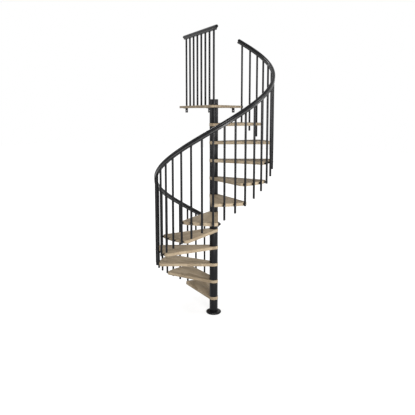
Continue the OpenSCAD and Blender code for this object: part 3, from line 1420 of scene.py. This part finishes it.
@dataclass(frozen=True)
class Guard:
    """The straight guard on the landing."""

    flight: Flight
    section: RailSection
    steel: bpy.types.Material
    plastic: bpy.types.Material
    count: int = 8
    pitch: float = 0.13004
    height: float = 0.996
    inset: float = 0.041
    start: float = 0.086
    overhang: float = 0.080
    carrier_cut: float = 0.030
    swing: float = 2.0

    @property
    def near_end(self) -> float:
        """Distance of the rail's near end from the pole."""
        return self.start - self.overhang

    @property
    def far_end(self) -> float:
        """Distance of the rail's far end from the pole."""
        return self.start + (self.count - 1) * self.pitch + self.overhang

    def place(self, along: float, lift: float) -> Vector:
        """Finds a point on the guard's line.

        Args:
            along: Distance from the pole.
            lift: Height above the landing.

        Returns:
            The point.
        """
        direction = LandingOutline(self.flight).back_direction() + self.swing
        plan = Vector(polar(self.inset, direction - 90.0)) + Vector(polar(along, direction))
        return Vector((plan.x, plan.y, self.flight.landing_height + lift))

    def build(self, array: GeometryTree, posts: Balusters) -> None:
        """Builds the guard's balusters and rail.

        Args:
            array: The line array.
            posts: The maker of balusters.
        """
        length = self.height - self.section.height / 2.0
        first = self.place(self.start, 0.0)
        step = self.place(self.start + self.pitch, 0.0) - first
        mesh = array.make("guard_posts", posts.post(length, 0.0, "guard_post"), {
            "Count": self.count, "Start": first, "Step": step, "Finish": self.steel,
        }, CRISP_ANGLE)
        place_piece("guard_posts", mesh, self.steel, Slot.STEEL, "guard_balusters")
        mesh = section_sweep(Path.LINE).make("guard_rail_profile", self.section.mesh(), {
            "Start": self.place(self.near_end, self.height), "End": self.place(self.far_end, self.height),
            "Finish": self.plastic,
        })
        self.draw_in_carrier(mesh)
        place_piece("guard_rail_profile", mesh, self.plastic, Slot.RAIL, "guard_rail")

    def draw_in_carrier(self, mesh: bpy.types.Mesh) -> None:
        """Cuts the lower lobe's ends back, so that the grip reaches past it.

        Args:
            mesh: The rail.
        """
        along = (self.place(1.0, 0.0) - self.place(0.0, 0.0)).normalized()
        base = self.place(0.0, self.height + self.section.throat)
        halfway = (self.near_end + self.far_end) / 2.0
        bm = bmesh.new()
        bm.from_mesh(mesh)
        for vert in bm.verts:
            share = min(max((base.z - vert.co.z) / self.section.groove, 0.0), 1.0)
            inward = -1.0 if (vert.co - base).dot(along) > halfway else 1.0
            vert.co += along * (inward * share * self.carrier_cut)
        bmesh.ops.triangulate(bm, faces=[face for face in bm.faces if len(face.verts) > 4])
        bm.to_mesh(mesh)
        bm.free()

    def end_frames(self) -> list[Matrix]:
        """Works out where the rail ends.

        Returns:
            The frames of both ends, with Z pointing out of the rail at the middle of the grip.
        """
        lift = self.height + self.section.grip_middle
        near = self.place(self.near_end, lift)
        far = self.place(self.far_end, lift)
        frames = []
        for end, other in ((near, far), (far, near)):
            turn = (end - other).to_track_quat("Z", "Y").to_matrix().to_4x4()
            frames.append(Matrix.Translation(end) @ turn)
        return frames


def cap_rails(handrail: Handrail, guard: Guard) -> None:
    """Closes the rails' ends with rounded caps.

    Args:
        handrail: The helical rail, whose two lobes are both capped.
        guard: The straight rail, whose grip alone is capped.
    """
    bm = bmesh.new()
    for rail, with_carrier in ((handrail, True), (guard, False)):
        for frame in rail.end_frames():
            rail.section.add_end(bm, frame, with_carrier)
    mesh = finish_mesh(bm, "rail_end_domes")
    place_piece("rail_end_domes", mesh, handrail.plastic, Slot.RAIL, "rail_end_caps")


# Studio


@dataclass(frozen=True)
class Lamp:
    """A soft square lamp: its place as the camera sees it, its side in metres and its power in watts."""

    name: str
    place: Point3
    side: float
    power: float

    def build(self, place: Vector, aim: Vector) -> None:
        """Adds the lamp.

        Args:
            place: Where it stands.
            aim: What it points at.
        """
        data = bpy.data.lights.new(self.name, "AREA")
        data.shape = "SQUARE"
        data.size = self.side
        data.energy = self.power
        lamp = bpy.data.objects.new(self.name, data)
        lamp.location = place
        lamp.rotation_euler = (aim - place).to_track_quat("-Z", "Y").to_euler()
        bpy.context.scene.collection.objects.link(lamp)


@dataclass(frozen=True)
class Studio:
    """Floor, light and the camera at the photograph's viewpoint."""

    focal_pixels: float = 506.7
    centre_pixels: Point2 = (208.5, 175.8)
    sensor: float = 36.0
    distance: float = 6.676
    aside: float = -0.070
    eye_height: float = 2.717
    pitch: float = 7.07
    heading: float = 25.52
    lamps: tuple[Lamp, ...] = (
        Lamp("front_lamp", (2.2, -6.4, 2.6), 2.2, 425.0),
        Lamp("left_lamp", (-5.0, -1.5, 3.0), 1.6, 50.0),
        Lamp("right_lamp", (5.0, -0.5, 3.0), 1.6, 90.0),
        Lamp("back_lamp", (-3.0, 2.6, 7.1), 0.8, 115.0),
    )
    aim_height: float = 1.9
    soft_light: float = 0.18
    floor_half: float = 30.0
    floor_colour: Colour = (0.88, 0.88, 0.88, 1.0)
    floor_glow: float = 1.21
    glow_near: float = 0.70
    glow_gain: float = 0.22
    shadow_reach: Point2 = (0.3, 2.2)

    def world_point(self, right: float, ahead: float, up: float) -> Vector:
        """Returns a point given as seen from the camera's side of the pole."""
        return turned_about_z(self.heading) @ Vector((right, ahead, up))

    def camera(self) -> None:
        """Sets the camera."""
        data = bpy.data.cameras.new("photo_camera")
        data.sensor_width = self.sensor
        data.lens = self.sensor * self.focal_pixels / IMAGE_SIDE
        data.shift_x = (IMAGE_SIDE / 2.0 - self.centre_pixels[0]) / IMAGE_SIDE
        data.shift_y = (self.centre_pixels[1] - IMAGE_SIDE / 2.0) / IMAGE_SIDE
        camera = bpy.data.objects.new("photo_camera", data)
        camera.location = self.world_point(self.aside, -self.distance, self.eye_height)
        camera.rotation_euler = (math.radians(90.0 - self.pitch), 0.0, math.radians(self.heading))
        bpy.context.scene.collection.objects.link(camera)
        bpy.context.scene.camera = camera

    def lights(self) -> None:
        """Sets the soft light of the studio."""
        for lamp in self.lamps:
            lamp.build(self.world_point(*lamp.place), Vector((0.0, 0.0, self.aim_height)))

    def world(self) -> None:
        """Sets a white background that lights the object softly."""
        bench = Bench(bpy.data.worlds.new("white_studio"), "ShaderNodeOutputWorld")
        soft = bench.add("ShaderNodeBackground", {}, {"Color": WHITE, "Strength": self.soft_light})[0]
        white = bench.add("ShaderNodeBackground", {}, {"Color": WHITE, "Strength": 1.0})[0]
        bench.end(bench.add("ShaderNodeMixShader", {}, {0: bench.seen(), 1: soft, 2: white})[0])
        bpy.context.scene.world = bench.owner

    def floor(self) -> None:
        """Lays the pale floor, which keeps a faint shadow near the object."""
        bench = Bench(bpy.data.materials.new("studio_floor"))
        matt = bench.add("ShaderNodeBsdfDiffuse", {}, {"Color": self.floor_colour})[0]
        glow = bench.add("ShaderNodeEmission", {}, {"Color": WHITE, "Strength": self.floor_glow})[0]
        away = bench.add("ShaderNodeVectorMath", {"operation": "LENGTH"}, {0: bench.object_place()})[1]
        share = self.glow_near + bench.band(away, *self.shadow_reach) * self.glow_gain
        bench.end(bench.add("ShaderNodeMixShader", {}, {0: bench.seen() * share, 1: matt, 2: glow})[0])
        half = self.floor_half
        corners = [(-half, -half, 0.0), (half, -half, 0.0), (half, half, 0.0), (-half, half, 0.0)]
        mesh = bpy.data.meshes.new("studio_floor")
        mesh.from_pydata(corners, [], [(0, 1, 2, 3)])
        mesh.materials.append(bench.owner)
        floor_piece = bpy.data.objects.new("studio_floor", mesh)
        bpy.context.scene.collection.objects.link(floor_piece)

    def build(self) -> None:
        """Sets up the whole studio."""
        bpy.context.scene.view_settings.view_transform = "Standard"
        self.camera()
        self.lights()
        self.world()
        self.floor()


# The whole stair


def dress_kept_nodes(frame: dict, steel: bpy.types.Material) -> None:
    """Gives the CAD nodes that stay in sight their finish.

    Args:
        frame: The loaded frame.
        steel: The black steel.
    """
    for name in ("column", "landing_angles"):
        node = frame["nodes"][name]
        node.data.materials.clear()
        node.data.materials.append(steel)
        LOG.info("%s: kept from the frame", name)


def main() -> None:
    """Builds the stair's pieces around the frame, then the studio."""
    logging.basicConfig(level=logging.INFO, format="%(name)s %(message)s")
    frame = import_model()
    flight = Flight()
    section = RailSection()
    wood = StaveWood().material()
    steel = CoatedSteel().material()
    plastic = RailPlastic().material()
    screw_steel = ScrewSteel().material()
    far_edge = LandingOutline(flight).corners()[0].y
    helix = helix_array()
    posts = Balusters(flight, steel, section.height / 2.0)
    Pole(flight, steel).build()
    Woodwork(flight, wood).build()
    posts.build(helix)
    Bosses(flight, steel, screw_steel).build(helix, far_edge)
    handrail = Handrail(flight, section, plastic)
    handrail.build()
    guard = Guard(flight, section, steel, plastic)
    guard.build(line_array(), posts)
    cap_rails(handrail, guard)
    dress_kept_nodes(frame, steel)
    Studio().build()


if __name__ == "__main__":
    main()
